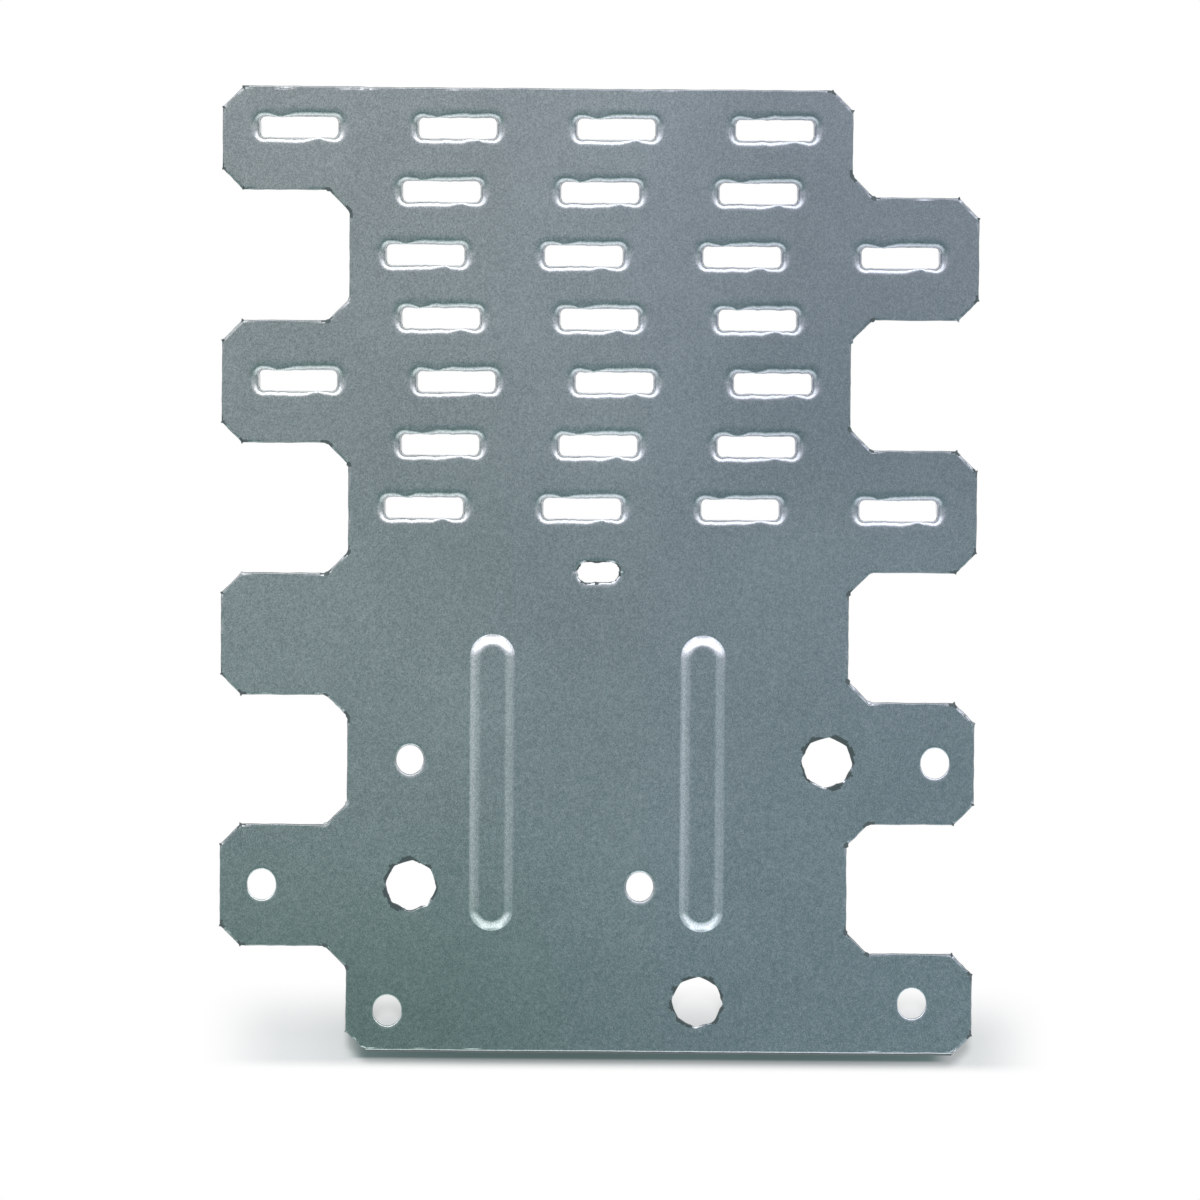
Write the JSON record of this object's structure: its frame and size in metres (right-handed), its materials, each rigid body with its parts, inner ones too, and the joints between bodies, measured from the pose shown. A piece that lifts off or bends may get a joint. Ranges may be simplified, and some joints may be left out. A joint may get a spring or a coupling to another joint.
{
  "type": "roof boundary clip",
  "caption": "Flat galvanised steel nailing plate with staggered side tabs, pressed-out teeth at one end, and stiffening ribs, nail holes and screw holes at the other.",
  "frame": {"origin": "centre of the plate in plan, at the level of the tooth tips", "axes": "+Z out of the face that carries the raised ribs, away from the teeth; +Y along the plate towards the toothed end; +X across it"},
  "size_m": [0.114, 0.146, 0.011],
  "materials": {
    "galvanised_steel": "hot-dip galvanised, grey with a faint green cast, finely mottled, low gloss"
  },
  "bodies": {
    "root": {"clip": "galvanised_steel"}
  },
  "joints": []
}
